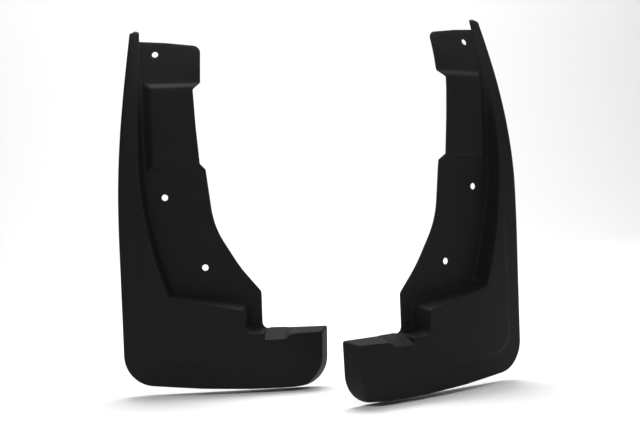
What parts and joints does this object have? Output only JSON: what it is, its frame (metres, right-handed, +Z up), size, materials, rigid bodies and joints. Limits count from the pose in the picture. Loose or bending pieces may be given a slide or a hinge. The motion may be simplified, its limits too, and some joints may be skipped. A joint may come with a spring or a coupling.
{
  "type": "mud flap",
  "caption": "Left and right moulded splash guards: arch-shaped screw flange, raised outer rim, broad lower flap with inboard arm.",
  "frame": {"origin": "front face of the left flap's middle screw hole, on the hole's axis", "axes": "+Z up, +Y from the vehicle-body side towards the wheel, +X from the left flap towards the right one"},
  "size_m": [0.4995, 0.1743, 0.4617],
  "materials": {
    "flap_plastic": "fine-grained satin black moulding"
  },
  "bodies": {
    "root": {"left_flap": "flap_plastic", "right_flap": "flap_plastic"}
  },
  "joints": []
}
